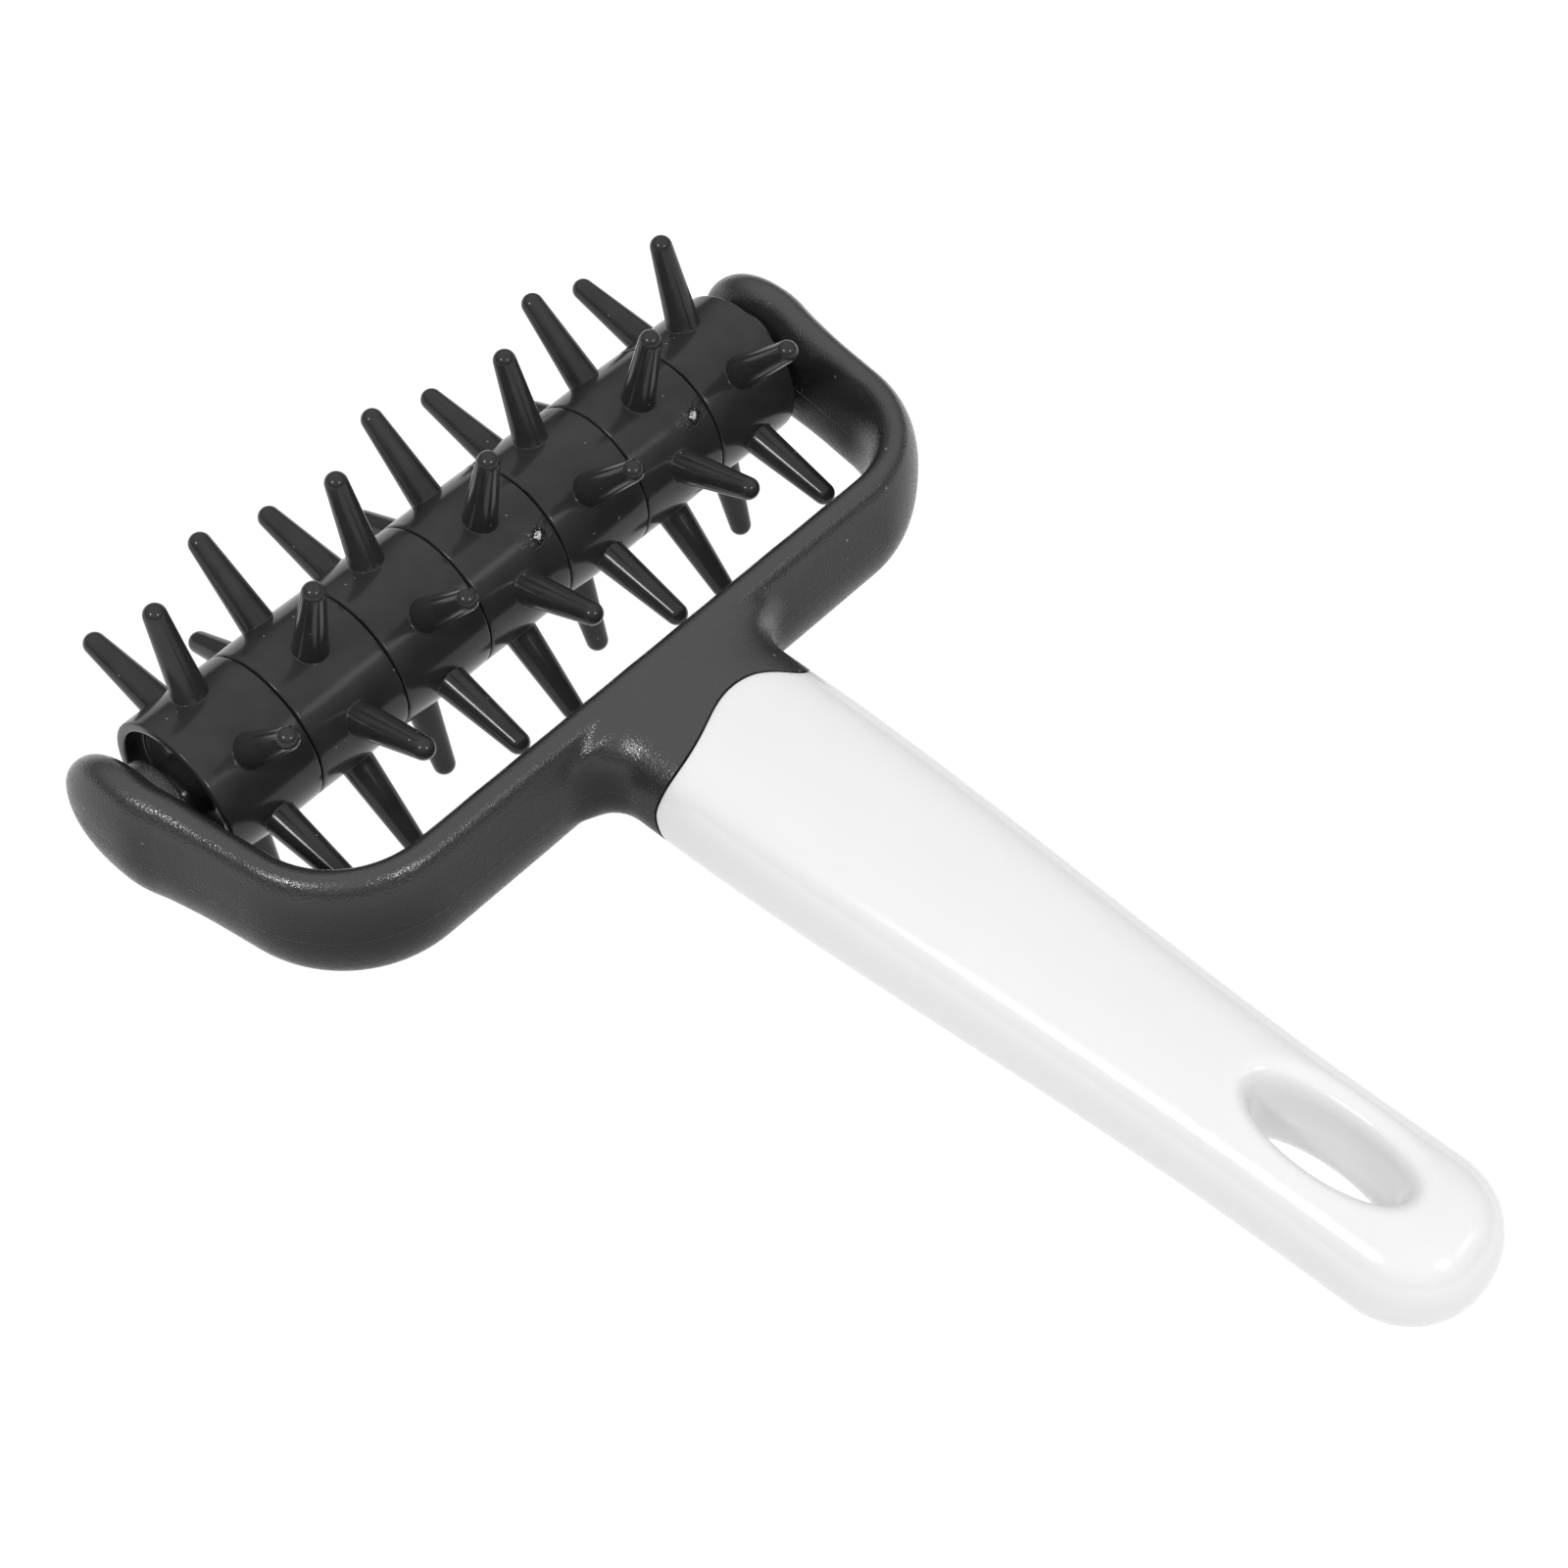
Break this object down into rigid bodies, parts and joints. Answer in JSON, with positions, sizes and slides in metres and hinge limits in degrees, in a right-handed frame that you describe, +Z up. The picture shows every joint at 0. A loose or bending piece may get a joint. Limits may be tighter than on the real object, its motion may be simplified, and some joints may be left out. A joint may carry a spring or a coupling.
{
  "type": "dough docker",
  "caption": "Hand-held dough docker: a free-turning roller of spiked rings between the arms of a rounded yoke, with a tapered handle and a hanging slot.",
  "frame": {"origin": "middle of the overall box: mid-width on the tool's plane of symmetry, at the height of the axle, halfway between the foremost spike tips and the end of the handle", "axes": "+X along the axle, +Z up, square to the broad face of the handle, -Y towards the end of the handle"},
  "size_m": [0.1348, 0.1975, 0.0522],
  "materials": {
    "yoke_plastic": "fine spark-eroded texture, satin",
    "handle_plastic": "polished gloss, moulded",
    "ring_plastic": "smooth gloss, moulded",
    "core_plastic": "smooth, moulded",
    "axle_steel": "drawn stainless rod"
  },
  "bodies": {
    "yoke": {"frame": "yoke_plastic", "handle": "handle_plastic", "axle": "axle_steel"},
    "roller": {"core": "core_plastic", "bush_left": "core_plastic", "bush_right": "core_plastic", "ring_1": "ring_plastic", "ring_2": "ring_plastic", "ring_3": "ring_plastic", "ring_4": "ring_plastic", "ring_5": "ring_plastic", "ring_6": "ring_plastic", "ring_7": "ring_plastic"}
  },
  "joints": [
    {"name": "roller_spin", "type": "hinge", "parent": "yoke", "child": "roller", "pos_m": [0, 0.0727, 0], "axis": [1, 0, 0], "continuous": true}
  ]
}
